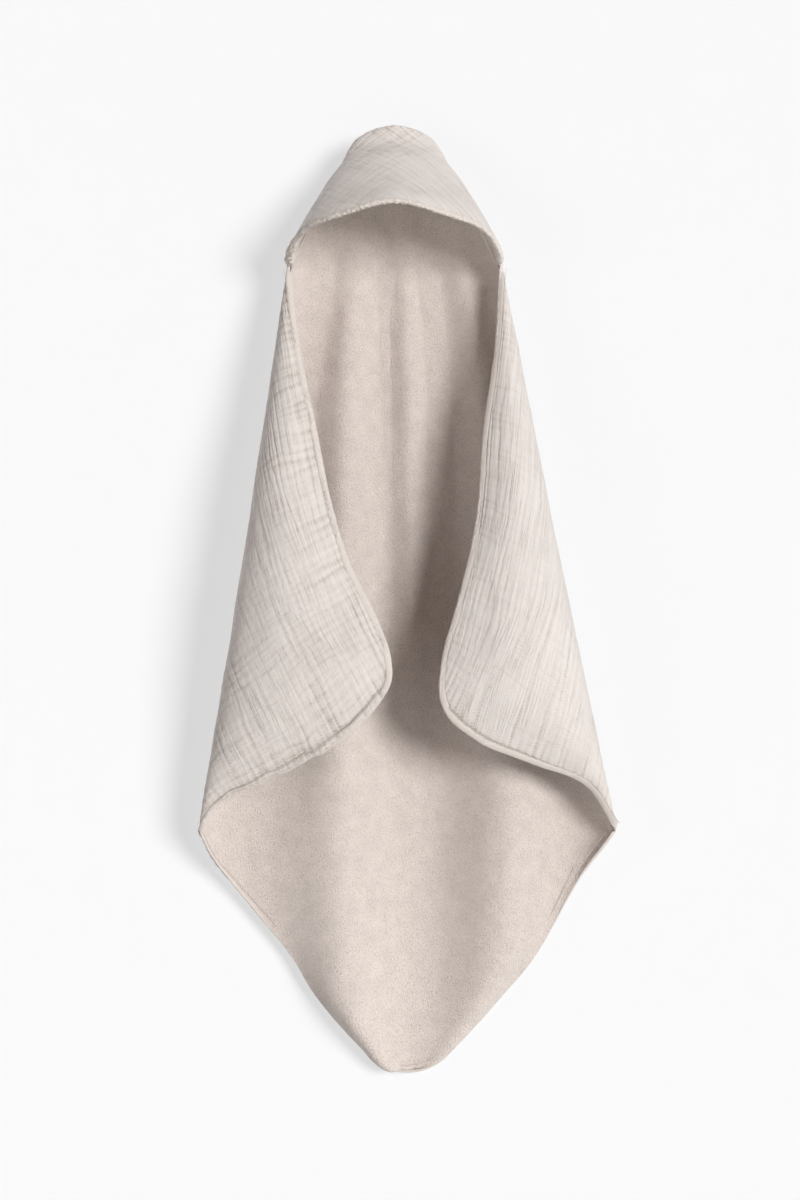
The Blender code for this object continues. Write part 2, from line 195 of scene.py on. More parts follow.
def foldsAt(x, down):  # how far the upright folds stand forward
    share = float(np.clip((down - hoodEnd) / (tip - hoodEnd), 0.0, 1.0))
    total = np.zeros_like(x)
    for centres, widths, heights in backFolds:
        centre, wide, high = (np.interp(share, foldLevels, row)
                              for row in (centres, widths, heights))
        total += high * np.exp(-((x - centre) / wide) ** 2)
    return total * float(ease((down - top) / (hoodEnd - top)))


def lowerWave(side, down):
    share = (down - foldEnd) / (tip - foldEnd) + np.linspace(-0.06, 0.06, 7)
    return float(np.mean(np.interp(share, *lowerWaves[side])))


def along(points, shares):  # places by the share of the row's length
    steps = np.linalg.norm(np.diff(points, axis=0), axis=1)
    lengths = np.concatenate(([0.0], np.cumsum(steps)))
    return np.column_stack([np.interp(np.asarray(shares) * lengths[-1], lengths, points[:, i])
                            for i in range(3)])


def backRow(down):  # across the back, from its left edge to its right
    half = max(float(edgeHalf(down) * gather(down)), 0.0001)
    back = (down - hang["clearLevel"]) / (hang["returnShare"] * hoodEnd)
    stand = hang["topStand"] * (1 - float(ease(back)))
    depth = float(sideDepth(down)) - stand
    lower = float(ease((down - foldEnd + 0.06) / 0.20))
    roundness = 2 / (hang["backRound"] + (2.0 - hang["backRound"]) * lower)
    angle = np.linspace(-math.pi / 2, math.pi / 2, 241)
    x = half * np.sign(np.sin(angle)) * np.abs(np.sin(angle)) ** roundness
    off = stand + depth * (1 - np.abs(np.cos(angle)) ** roundness)
    off = off + foldsAt(x + middle(down), down) * (1 - np.abs(x / half) ** 6)
    off = np.maximum(off - hang["press"], 0.0)
    wave = np.where(x < 0, -lowerWave(-1, down), lowerWave(1, down)) * (x / half) ** 2
    return np.column_stack((x + wave + middle(down), rearY - off, np.full_like(x, height(down))))


def hoodRow(down):  # over the hood, from its left seam to its right
    half = float(edgeHalf(down) * gather(down))
    levels = np.clip(down + np.linspace(-0.02, 0.02, 11), top, hoodEnd)  # eased, as above
    ring = 2 * (2 * edgeHalf(levels) / math.pi) ** 2 - (edgeHalf(levels) * gather(levels)) ** 2
    stand = float(np.mean(np.sqrt(np.maximum(ring, 0.0) + hang["hoodLeast"] ** 2)))
    angle = np.linspace(-math.pi / 2, math.pi / 2, 181)
    y = rearY - sideDepth(down) - stand * math.cos(hang["hoodPitch"]) * np.cos(angle)
    front = float(ease((down - top) / (hoodEnd - top)))
    peak = 1 - hang["hoodPeak"] * front * np.sin(2 * angle) ** 2 * (np.cos(2 * angle) + 0.35)
    rise = stand * math.sin(hang["hoodPitch"]) * float(ease((down - top) / 0.05))
    z = height(down) + rise * np.cos(angle) * peak
    return np.column_stack((middle(down) + half * np.sin(angle), y, z))


def sidePoint(side, down):
    half = edgeHalf(down) * gather(down)
    return np.array((middle(down) + side * half, rearY - sideDepth(down), height(down)))


def smoothTable(table, share):  # a smooth curve through the rows, each led by its share
    table = np.array(table)
    keys = table[:, 0]
    slopes = np.gradient(table[:, 1:], keys, axis=0)
    i = int(np.clip(np.searchsorted(keys, share) - 1, 0, len(keys) - 2))
    span = keys[i + 1] - keys[i]
    u = (share - keys[i]) / span
    low, high = table[i, 1:], table[i + 1, 1:]
    return (low * (1 + 2 * u) * (1 - u) ** 2 + high * u * u * (3 - 2 * u)
            + slopes[i] * span * u * (1 - u) ** 2 - slopes[i + 1] * span * u * u * (1 - u))


def flapRow(side, share):  # over a folded corner, from its fold to its free edge
    fold = sidePoint(side, hoodEnd + (foldEnd - hoodEnd) * share)
    level, reach, stand = smoothTable(freeEdges[side], share)
    down = hoodEnd + (foldEnd - hoodEnd) * float(level)
    outer = sidePoint(side, down)
    edgeX = outer[0] + (middle(down) - outer[0]) * reach
    edgeY = outer[1] - hang["flapStand"] * stand
    if side < 0:  # its lower edge is a soft hem that ripples
        ripple = (math.sin(share * hemRipple["turns"])
                  + 0.6 * math.sin(share * 1.7 * hemRipple["turns"]))
        outer[2] += hemRipple["high"] * float(ease((share - hemRipple["from"]) / 0.05)) * ripple
    turn = np.linspace(0.0, math.pi / 2, 91)
    inward = 1 - np.maximum(np.cos(turn), 0) ** (2 / hang["flapRound"])
    forward = np.maximum(np.sin(turn), 0) ** (2 / hang["flapRound"])
    forward = forward * (1 + hang["flapBelly"] * np.sin(math.pi * inward ** 0.8))
    return np.column_stack((fold[0] + (edgeX - fold[0]) * inward,
                            fold[1] + (edgeY - fold[1]) * forward,
                            fold[2] + (outer[2] - fold[2]) * inward))


# the flat place on the free edge: down the upper leg, round the corner, along the lower leg
def flatFreeEdge(side, share):
    centre = diagonal / 2
    radius = cloth["corner"]
    upper = cloth["side"] - cloth["hoodLeg"] - radius
    bend = radius * math.pi / 2
    lower = (foldEnd - centre) * rootTwo - radius
    distance = share * (upper + bend + lower)
    if distance < upper:
        across = hoodEnd + distance / rootTwo
        return side * across, across
    if distance < upper + bend:
        angle = math.pi / 4 - (distance - upper) / radius
        hub = centre - radius * rootTwo
        return side * (hub + radius * math.cos(angle)), centre - radius * math.sin(angle)
    rest = (distance - upper - bend) / rootTwo
    across = centre - radius / rootTwo - rest
    return side * across, diagonal - across


# the gauze puckers along both its threads
crinkle = {
    "pleat": 0.0105,  # spacing of the puckers
    "edgeShare": 1.3,  # how much deeper they are beside a sewn edge
    "high": 0.0016,
    "crossShare": (0.85, 0.30),  # cross puckers beside the long pleats, left and right
    "puff": 0.0008,
    "edgeReach": 0.030,  # how far the puckers at a sewn edge run in
    "stitchLine": 0.0085,  # the stitches' distance from the edge
    "grooveDeep": 0.0009,
    "grooveWide": 0.0016,
}


def wobble(u, v, cell, seed):  # smooth random waves from -1 to 1, the same each run
    lattice = np.random.RandomState(seed).uniform(-1, 1, (64, 64))
    u, v = u / cell + 31.5, v / cell + 17.5
    i, j = np.floor(u).astype(int), np.floor(v).astype(int)
    fu, fv = ease(u - i), ease(v - j)
    i, j = i % 64, j % 64
    i2, j2 = (i + 1) % 64, (j + 1) % 64
    low = lattice[i, j] * (1 - fu) + lattice[i2, j] * fu
    high = lattice[i, j2] * (1 - fu) + lattice[i2, j2] * fu
    return low * (1 - fv) + high * fv


def edgeDistance(flat):  # how far inside the rounded square a flat place is
    s = (flat[..., 1] + flat[..., 0]) / rootTwo
    t = (flat[..., 1] - flat[..., 0]) / rootTwo
    half = cloth["side"] / 2
    qs = np.abs(s - half) - (half - cloth["corner"])
    qt = np.abs(t - half) - (half - cloth["corner"])
    outside = np.hypot(np.maximum(qs, 0), np.maximum(qt, 0))
    return cloth["corner"] - outside - np.minimum(np.maximum(qs, qt), 0)


def ridges(across, run, spacing, seed):  # rounded ridges with narrow valleys, from 0 to 1
    bend = (0.9 * wobble(run / 9.0, across, 0.034, seed)
            + 0.22 * wobble(run / 3.5, across, 0.012, seed + 1)
            + 0.08 * wobble(run / 1.5, across, 0.005, seed + 2))
    coarse = np.abs(np.sin(math.pi * (across / spacing + bend))) ** 0.40
    fine = np.abs(np.sin(math.pi * (across / spacing * 2.13 + bend * 1.7))) ** 0.5
    finer = 0.35 + 0.25 * wobble(run / 5, across, 0.014, seed + 3)
    return coarse * (1 - finer) + fine * finer


# the valley depth it gives back is painted as shade in the muslin's colour, in the puckers and
# along the stitch groove
def crinkleOf(flat, stitched=True):  # how high the cloth stands, and how deep in a valley it is
    s = (flat[..., 1] + flat[..., 0]) / rootTwo
    t = (flat[..., 1] - flat[..., 0]) / rootTwo
    toRight = ease(0.5 + flat[..., 0] / 0.12)
    left, right = crinkle["crossShare"]
    half = cloth["side"] / 2
    nearS = np.exp(-(half - np.abs(s - half)) / crinkle["edgeReach"]) * stitched
    nearT = np.exp(-(half - np.abs(t - half)) / crinkle["edgeReach"]) * stitched
    weightS = (1 - toRight) + right * toRight + crinkle["edgeShare"] * nearT
    weightT = left * (1 - toRight) + toRight + crinkle["edgeShare"] * nearS
    # the puckers come and go in patches
    patchS = 0.62 + 0.38 * wobble(t / 3.5, s, 0.016, 31)
    patchT = 0.62 + 0.38 * wobble(s / 3.5, t, 0.016, 32)
    valley = (weightS * patchS * (1 - ridges(s, t, crinkle["pleat"], 3))
              + weightT * patchT * (1 - ridges(t, s, crinkle["pleat"], 11)))
    total = crinkle["high"] * (0.45 - valley) + crinkle["puff"] * wobble(s, t, 0.036, 23)
    if stitched:
        groove = np.exp(-((edgeDistance(flat) - crinkle["stitchLine"])
                          / crinkle["grooveWide"]) ** 2)
        total = total - crinkle["grooveDeep"] * groove
        # painted shade along the stitch groove
        valley = valley + 0.9 * groove
    return total, np.clip(valley, 0.0, 1.0)


def signedVolume(points, faces):  # below nothing when the faces point inwards
    first = points[faces[:, 0]]
    total = 0.0
    for i in range(1, faces.shape[1] - 1):
        total += np.einsum("ij,ij->i", first, np.cross(points[faces[:, i]],
                                                       points[faces[:, i + 1]])).sum()
    return total


def closedMesh(name, points, faces, uvs, material, shade=None):
    points = np.asarray(points, float)
    faces = np.asarray(faces, np.int32)
    if signedVolume(points - points.mean(axis=0), faces) < 0:
        faces = faces[:, ::-1]
    mesh = bpy.data.meshes.new(name)
    mesh.vertices.add(len(points))
    mesh.vertices.foreach_set("co", points.astype(np.float32).ravel())
    mesh.loops.add(faces.size)
    mesh.loops.foreach_set("vertex_index", np.ascontiguousarray(faces).ravel())
    mesh.polygons.add(len(faces))
    mesh.polygons.foreach_set("loop_start",
                              np.arange(0, faces.size, faces.shape[1], dtype=np.int32))
    mesh.update(calc_edges=True)
    layer = mesh.uv_layers.new(name="flat")
    layer.data.foreach_set("uv", np.asarray(uvs, np.float32)[faces.ravel()].ravel())
    # painted shade: how deep each place lies in the crinkle valleys, which darkens the muslin's
    # colour
    if shade is not None:
        attribute = mesh.attributes.new("valleyShade", "FLOAT", "POINT")
        attribute.data.foreach_set("value", np.asarray(shade, np.float32).ravel())
    mesh.shade_smooth()
    mesh.materials.append(material)
    piece = bpy.data.objects.new(name, mesh)
    bpy.context.scene.collection.objects.link(piece)
    return piece


def terrySwell(flat):
    across, down = flat[..., 0], flat[..., 1]
    return sheets["terrySwell"] * (0.5 * wobble(across, down, 0.045, 41)
                                   + 0.2 * wobble(across, down, 0.016, 42))


def gridNormals(points):
    normals = np.cross(np.gradient(points, axis=0), np.gradient(points, axis=1))
    return normals / np.maximum(np.linalg.norm(normals, axis=2, keepdims=True), 1e-12)


# a closed sheet between two distances from a grid of points, along the grid's normals, which
# lean upwards in the first rows where its top is closed
def addSheet(name, grid, near, far, outward, material, lift=None, shade=None, topClosed=False):
    points, flat, normals = grid["points"], grid["flat"], grid["normals"] * outward
    if topClosed:
        for i, share in enumerate((1.0, 0.6, 0.3, 0.1)):
            normals[i] = normals[i] * (1 - share) + np.array((0, 0, 1.0)) * share
        normals /= np.linalg.norm(normals, axis=2, keepdims=True)
    near = np.broadcast_to(near, points.shape[:2])
    far = np.broadcast_to(far, points.shape[:2])
    inside = points + normals * near[..., None]
    outside = points + normals * (far if lift is None else far + lift)[..., None]
    rows, columns = points.shape[:2]
    total = rows * columns
    index = np.arange(total).reshape(rows, columns)
    corners = (index[:-1, :-1], index[1:, :-1], index[1:, 1:], index[:-1, 1:])
    faces = np.stack([corner.ravel() for corner in corners], axis=1)
    rim = np.concatenate((index[:-1, 0], index[-1, :-1], index[:0:-1, -1], index[0, :0:-1]))
    after = np.roll(rim, -1)
    side = np.stack((rim, rim + total, after + total, after), axis=1)
    allFaces = np.concatenate((faces, faces[:, ::-1] + total, side))
    places = np.concatenate((inside.reshape(-1, 3), outside.reshape(-1, 3)))
    uvs = np.concatenate((flat.reshape(-1, 2),) * 2)
    if shade is not None:
        shade = np.concatenate((shade.ravel(), shade.ravel()))
    piece = closedMesh(name, places, allFaces, uvs, material, shade)
    piece.data.set_sharp_from_angle(angle=math.radians(75))  # the cut edge stays crisp
    return piece


# a closed strip: the profile's (outward, upward) points carried along the path
def addStrip(name, path, outward, upward, profile, material, swell=None):
    path = np.asarray(path)
    rows, columns = len(path), len(profile)
    shape = np.broadcast_to(np.asarray(profile)[None], (rows, columns, 2))
    if swell is not None:
        shape = shape * swell[..., None]
    rings = (path[:, None, :] + outward[:, None, :] * shape[..., :1]
             + upward[:, None, :] * shape[..., 1:])
    index = np.arange(rows * columns).reshape(rows, columns)
    after = np.roll(index, -1, axis=1)
    faces = np.stack([corner.ravel() for corner in
                      (index[:-1], after[:-1], after[1:], index[1:])], axis=1)
    total = rows * columns
    ends = np.stack((rings[0].mean(axis=0), rings[-1].mean(axis=0)))
    places = np.concatenate((rings.reshape(-1, 3), ends))
    caps = []
    for i in range(0, columns, 2):
        second, third = (i + 1) % columns, (i + 2) % columns
        caps.append((total, index[0, third], index[0, second], index[0, i]))
        caps.append((total + 1, index[-1, i], index[-1, second], index[-1, third]))
    lengths = np.concatenate(([0.0], np.cumsum(np.linalg.norm(np.diff(path, axis=0), axis=1))))
    girth = np.linalg.norm(np.diff(np.asarray(profile), axis=0), axis=1)
    around = np.concatenate(([0.0], np.cumsum(girth)))
    uvs = np.stack(np.meshgrid(lengths, around, indexing="ij"), axis=2).reshape(-1, 2)
    uvs = np.concatenate((uvs, ((0.0, 0.0), (lengths[-1], 0.0))))
    return closedMesh(name, places, np.concatenate((faces, np.array(caps))), uvs, material)


# along an edge: the way out of the cloth, and the cloth's normal
def edgeFrames(path, inner):
    tangent = np.gradient(path, axis=0)
    tangent /= np.linalg.norm(tangent, axis=1, keepdims=True)
    out = path - inner
    out -= tangent * np.einsum("ij,ij->i", out, tangent)[:, None]
    out /= np.maximum(np.linalg.norm(out, axis=1, keepdims=True), 1e-9)
    return out, np.cross(tangent, out)


def smoothPath(path, rounds):
    path = path.copy()
    for _ in range(rounds):
        path[1:-1] = (path[:-2] + 2 * path[1:-1] + path[2:]) / 4
    return path


def resample(path, spacing):  # even steps along it, with whatever else each row holds
    lengths = np.concatenate(([0.0], np.cumsum(np.linalg.norm(np.diff(path[:, :3], axis=0),
                                                              axis=1))))
    count = max(int(lengths[-1] / spacing), 2)
    places = np.linspace(0, lengths[-1], count + 1)
    return np.column_stack([np.interp(places, lengths, path[:, i])
                            for i in range(path.shape[1])])


# short stitches in a row along the path, each a rounded bead sunk at both ends
def addStitches(name, path, upward, stitch, material):
    both = resample(np.column_stack((path, upward)), stitch["pitch"])
    centres, ups = both[:, :3], both[:, 3:]
    ways = np.gradient(centres, axis=0)
    ways /= np.linalg.norm(ways, axis=1, keepdims=True)
    ups = ups - ways * np.einsum("ij,ij->i", ups, ways)[:, None]
    ups /= np.maximum(np.linalg.norm(ups, axis=1, keepdims=True), 1e-9)
    sides = np.cross(ways, ups)
    # a bead's rings: place along it by its length, width and rise by its radius
    rings = ((-0.5, 0.35, -0.5), (-0.36, 0.9, 0.15), (0.0, 1.0, 0.45), (0.36, 0.9, 0.15),
             (0.5, 0.35, -0.5))
    turns = np.linspace(0, 2 * math.pi, 6, endpoint=False)
    ringCount, sideCount = len(rings), len(turns)
    block = []
    for r in range(ringCount - 1):
        for i in range(sideCount):
            j = (i + 1) % sideCount
            block.append((r * sideCount + i, r * sideCount + j,
                          (r + 1) * sideCount + j, (r + 1) * sideCount + i))
    last = (ringCount - 1) * sideCount
    for base, order in ((0, -1), (last, 1)):
        ring = [base + i for i in range(sideCount)][::order]
        block.append((ring[0], ring[1], ring[2], ring[3]))
        block.append((ring[0], ring[3], ring[4], ring[5]))
    block = np.array(block)
    places, faces, uvs = [], [], []
    for centre, way, up, out in zip(centres, ways, ups, sides):
        faces.append(block + len(places))
        for run, wide, rise in rings:
            for turn in turns:
                places.append(centre + way * run * stitch["length"]
                              + out * math.cos(turn) * wide * stitch["radius"]
                              + up * (math.sin(turn) * wide + rise) * stitch["radius"])
                uvs.append((run * stitch["length"], turn * stitch["radius"]))
    return closedMesh(name, np.array(places), np.concatenate(faces), np.array(uvs), material)


def linear(hexColour):
    channels = [int(hexColour[i:i + 2], 16) / 255 for i in (1, 3, 5)]
    return [c / 12.92 if c <= 0.04045 else ((c + 0.055) / 1.055) ** 2.4 for c in channels] + [1.0]


def addNode(tree, kind, settings=None, inputs=None, links=None):
    node = tree.nodes.new(kind)
    for key, value in (settings or {}).items():
        setattr(node, key, value)
    for key, value in (inputs or {}).items():
        node.inputs[key].default_value = value
    for key, source in (links or {}).items():
        tree.links.new(source, node.inputs[key])
    return node


waveScale = 0.314  # a wave texture's scale for one band a millimetre


def newMaterial(name, roughness, sheen, specular):  # its shader, and its cloth in millimetres
    material = bpy.data.materials.new(name)
    material.use_nodes = True
    tree = material.node_tree
    shader = tree.nodes["Principled BSDF"]
    shader.inputs["Roughness"].default_value = roughness
    shader.inputs["Sheen Weight"].default_value = sheen
    shader.inputs["Sheen Roughness"].default_value = 0.6
    shader.inputs["Specular IOR Level"].default_value = specular
    uv = addNode(tree, "ShaderNodeUVMap", {"uv_map": "flat"})
    scaled = addNode(tree, "ShaderNodeMapping", {}, {"Scale": (1000, 1000, 1000)},
                     {"Vector": uv.outputs["UV"]})  # millimetres on the flat cloth
    return material, tree, shader, scaled.outputs["Vector"]


def makeMuslin(name, colour, valleyShadeColour, valley, threadBump, lineShadeShare, creaseBump):
    # cotton double gauze, washed: matt, light, puckered, with fine creases along its threads, and
    # painted shade in its valleys and crease lines
    material, tree, shader, place = newMaterial(name, 0.92, 0.18, 0.2)
    turned = addNode(tree, "ShaderNodeMapping", {}, {"Rotation": (0, 0, math.radians(45))},
                     {"Vector": place}).outputs["Vector"]
    slubs = []
    for stretch in ((0.10, 0.9, 1.0), (0.9, 0.10, 1.0)):
        mapped = addNode(tree, "ShaderNodeMapping", {}, {"Scale": stretch}, {"Vector": turned})
        slubs.append(addNode(tree, "ShaderNodeTexNoise", {},
                             {"Scale": 0.9, "Detail": 2.0, "Roughness": 0.6},
                             {"Vector": mapped.outputs["Vector"]}).outputs["Fac"])
    bothSlubs = addNode(tree, "ShaderNodeMath", {"operation": "ADD"}, {},
                        {0: slubs[0], 1: slubs[1]}).outputs[0]
    # fine creases: thin lines about 5 mm apart along each thread, long ones more on the right;
    # they dent the bump and are painted as shade in the colour
    sideways = addNode(tree, "ShaderNodeSeparateXYZ", {}, {}, {0: place}).outputs["X"]
    creases = []
    for stretch, onLeft, onRight, depth in (((0.007, 0.17, 1.0), 1.0, 0.30, 3.0),
                                            ((0.17, 0.007, 1.0), 0.75, 1.0, 60.0)):
        mapped = addNode(tree, "ShaderNodeMapping", {},
                         {"Scale": stretch, "Location": (0, 0, depth)},
                         {"Vector": turned}).outputs["Vector"]
        waves = addNode(tree, "ShaderNodeTexNoise", {},
                        {"Scale": 1.0, "Detail": 1.0, "Roughness": 0.5},
                        {"Vector": mapped}).outputs["Fac"]
        fromMiddle = addNode(tree, "ShaderNodeMath", {"operation": "SUBTRACT"}, {1: 0.5},
                             {0: waves}).outputs[0]
        fromLine = addNode(tree, "ShaderNodeMath", {"operation": "ABSOLUTE"}, {},
                           {0: fromMiddle}).outputs[0]
        line = addNode(tree, "ShaderNodeMapRange", {"interpolation_type": "SMOOTHSTEP"},
                       {1: 0.0, 2: 0.035, 3: 1.0, 4: 0.0}, {0: fromLine}).outputs[0]
        share = addNode(tree, "ShaderNodeMapRange", {},
                        {1: -60.0, 2: 60.0, 3: onLeft, 4: onRight}, {0: sideways}).outputs[0]
        patchy = addNode(tree, "ShaderNodeTexNoise", {}, {"Scale": 0.035, "Detail": 1.0},
                         {"Vector": place}).outputs["Fac"]
        shown = addNode(tree, "ShaderNodeMath", {"operation": "MULTIPLY"}, {},
                        {0: line, 1: share}).outputs[0]
        shown = addNode(tree, "ShaderNodeMath", {"operation": "MULTIPLY"}, {},
                        {0: shown, 1: patchy}).outputs[0]
        creases.append(shown)
    lines = addNode(tree, "ShaderNodeMath", {"operation": "ADD"}, {},
                    {0: creases[0], 1: creases[1]}).outputs[0]
    # painted shade: the crinkle valleys and the fine crease lines darken the colour towards the
    # valley shade colour
    valleyShade = addNode(tree, "ShaderNodeAttribute", {"attribute_name": "valleyShade"}).outputs["Fac"]
    sharp = addNode(tree, "ShaderNodeMath", {"operation": "POWER"}, {1: 1.6}, {0: valleyShade})
    paintedShade = addNode(tree, "ShaderNodeMath", {"operation": "MULTIPLY"}, {1: valley},
                   {0: sharp.outputs[0]})
    paintedShade = addNode(tree, "ShaderNodeMath", {"operation": "MULTIPLY_ADD", "use_clamp": True},
                   {1: lineShadeShare}, {0: lines, 2: paintedShade.outputs[0]})
    shadeTint = addNode(tree, "ShaderNodeMix", {"data_type": "RGBA"},
                   {6: linear(colour), 7: linear(valleyShadeColour)}, {0: paintedShade.outputs[0]})
    tone = addNode(tree, "ShaderNodeMapRange", {}, {1: 0.6, 2: 1.4, 3: 0.955, 4: 1.045},
                   {0: bothSlubs})
    shaded = addNode(tree, "ShaderNodeMix", {"data_type": "RGBA", "blend_type": "MULTIPLY"},
                     {0: 1.0}, {6: shadeTint.outputs[2], 7: tone.outputs[0]})
    tree.links.new(shaded.outputs[2], shader.inputs["Base Color"])
    # threads are 0.6 mm apart, too fine to show, so they are drawn 1.6 mm apart
    threadGap = 1.6
    bumps = []
    for direction in ("X", "Y"):
        bumps.append(addNode(tree, "ShaderNodeTexWave", {"bands_direction": direction},
                             {"Scale": waveScale / threadGap, "Distortion": 1.2, "Detail": 1.0},
                             {"Vector": turned}).outputs["Fac"])
    weave = addNode(tree, "ShaderNodeMath", {"operation": "MULTIPLY"}, {},
                    {0: bumps[0], 1: bumps[1]}).outputs[0]
    height = addNode(tree, "ShaderNodeMath", {"operation": "MULTIPLY_ADD"}, {1: 0.35},
                     {0: weave, 2: bothSlubs}).outputs[0]
    ridged = addNode(tree, "ShaderNodeMath", {"operation": "MULTIPLY"}, {1: -1.0}, {0: lines})
    creased = addNode(tree, "ShaderNodeBump", {}, {"Strength": 1.0, "Distance": creaseBump},
                      {"Height": ridged.outputs[0]})
    bump = addNode(tree, "ShaderNodeBump", {}, {"Strength": 0.5, "Distance": threadBump},
                   {"Height": height, "Normal": creased.outputs["Normal"]})
    tree.links.new(bump.outputs["Normal"], shader.inputs["Normal"])
    return material


def makeTerry(name, colour, loopShadeColour, loopSize, bumpHigh, speckle):
    # cotton terry: short dense loops, matt and soft, with a fine speckle and a slight nap, and
    # painted shade in the gaps between the loops
    material, tree, shader, place = newMaterial(name, 0.95, 0.35, 0.15)
    mapped = addNode(tree, "ShaderNodeMapping", {},
                     {"Rotation": (0, 0, math.radians(20)),
                      "Scale": (1.0 / loopSize, 0.72 / loopSize, 1.0)}, {"Vector": place})
    loops = addNode(tree, "ShaderNodeTexVoronoi", {"feature": "SMOOTH_F1"},
                    {"Scale": 1.0, "Smoothness": 0.35, "Randomness": 1.0},
                    {"Vector": mapped.outputs["Vector"]})
    grain = addNode(tree, "ShaderNodeTexNoise", {},
                    {"Scale": 0.8, "Detail": 4.0, "Roughness": 0.75},
                    {"Vector": mapped.outputs["Vector"]})
    patches = addNode(tree, "ShaderNodeTexNoise", {}, {"Scale": 0.055, "Detail": 2.0},
                      {"Vector": place})
    mixed = addNode(tree, "ShaderNodeMath", {"operation": "MULTIPLY_ADD"}, {1: 0.35},
                    {0: patches.outputs["Fac"], 2: grain.outputs["Fac"]})
    tone = addNode(tree, "ShaderNodeMapRange", {},
                   {1: 0.45, 2: 0.90, 3: 1 - speckle, 4: 1 + speckle}, {0: mixed.outputs[0]})
    # painted shade: the gaps between the loops darken towards the loop shade colour
    paintedShade = addNode(tree, "ShaderNodeMapRange", {}, {1: 0.30, 2: 0.95, 3: 0.0, 4: 0.26},
                   {0: loops.outputs["Distance"]})
    shadeTint = addNode(tree, "ShaderNodeMix", {"data_type": "RGBA"},
                   {6: linear(colour), 7: linear(loopShadeColour)}, {0: paintedShade.outputs[0]})
    shaded = addNode(tree, "ShaderNodeMix", {"data_type": "RGBA", "blend_type": "MULTIPLY"},
                     {0: 1.0}, {6: shadeTint.outputs[2], 7: tone.outputs[0]})
    tree.links.new(shaded.outputs[2], shader.inputs["Base Color"])
    raised = addNode(tree, "ShaderNodeMath", {"operation": "MULTIPLY_ADD"}, {1: -0.8},
                     {0: loops.outputs["Distance"], 2: grain.outputs["Fac"]})
    bump = addNode(tree, "ShaderNodeBump", {}, {"Strength": 0.7, "Distance": bumpHigh},
                   {"Height": raised.outputs[0]})
    tree.links.new(bump.outputs["Normal"], shader.inputs["Normal"])
    return material


def makeWoven(name, colour, period, bumpHigh, roughness, sheen=0.1):
    # woven cotton or satin strips: fine diagonal threads across a narrow band
    material, tree, shader, place = newMaterial(name, roughness, sheen, 0.3)
    wave = addNode(tree, "ShaderNodeTexWave", {"bands_direction": "DIAGONAL"},
                   {"Scale": waveScale / period, "Distortion": 0.8, "Detail": 1.0},
                   {"Vector": place})
    noise = addNode(tree, "ShaderNodeTexNoise", {}, {"Scale": 0.6, "Detail": 3.0},
                    {"Vector": place})
    tone = addNode(tree, "ShaderNodeMapRange", {}, {1: 0.3, 2: 0.7, 3: 0.95, 4: 1.04},
                   {0: noise.outputs["Fac"]})
    shaded = addNode(tree, "ShaderNodeMix", {"data_type": "RGBA", "blend_type": "MULTIPLY"},
                     {0: 1.0, 6: linear(colour)}, {7: tone.outputs[0]})
    tree.links.new(shaded.outputs[2], shader.inputs["Base Color"])
    bump = addNode(tree, "ShaderNodeBump", {}, {"Strength": 0.6, "Distance": bumpHigh},
                   {"Height": wave.outputs["Fac"]})
    tree.links.new(bump.outputs["Normal"], shader.inputs["Normal"])
    return material


# each muslin's and terry's second colour is painted shade: in the crinkle valleys and crease
# lines, or in the gaps between the loops
muslin = makeMuslin("washedCottonMuslin", "#e2dcd7", "#a3998f", 0.80, 0.0005, 0.28, 0.0005)
terry = makeTerry("loopedCottonTerry", "#e5dbd4", "#86664f", 1.25, 0.0019, 0.15)
terryRoll = makeTerry("overlockedTerryEdge", "#e8e0d8", "#b8aca1", 1.6, 0.0012, 0.08)
bindingCloth = makeMuslin("biasCutMuslinBinding", "#d7d0c9", "#bcb2a7", 0.3, 0.0003, 0.2, 0.0003)
thread = makeWoven("cottonSewingThread", "#d6cec4", 0.9, 0.0002, 0.7)
tapeCloth = makeWoven("herringboneCottonTape", "#e0d9d0", 1.4, 0.0002, 0.85)
labelCloth = makeWoven("satinLabelRibbon", "#eeece8", 0.8, 0.0001, 0.45)
print("materials made")


# how finely the cloth is made, and how it is cut where a corner folds
sheets = {
    "backHoodRows": 60,  # rows run across, and columns down
    "backFoldRows": 170,
    "backLowRows": 96,
    "muslinColumns": 120,
    "terryColumns": 132,
    "cutIn": 0.048,  # the flap's piece starts this far inside the fold
    "cutLeast": 0.003,  # and this far at both ends of the fold
    "cutTaper": 0.07,
    "flapRows": 270,
    "flapColumns": 150,
    "terryFlapColumns": 110,
    "hoodRows": 100,
    "hoodColumns": 170,
    "edgeIn": 0.0016,  # the cloth ends this far inside its bound edge
    "hoodShort": 0.002,  # and the hood's cloth this far above the end of its seams
    "thinShare": 0.15,  # a corner's layers thin to this share where its fold ends
    "thinTaper": 0.02,
    "terrySwell": 0.0016,
}


def foldShare(down):
    return (down - hoodEnd) / (foldEnd - hoodEnd)


def cutDistance(down):  # from the fold to where the back's piece meets the flap's
    k = foldShare(down)
    inner = ease(min(k, 1 - k) / sheets["cutTaper"])
    return sheets["cutLeast"] + (sheets["cutIn"] - sheets["cutLeast"]) * float(inner)


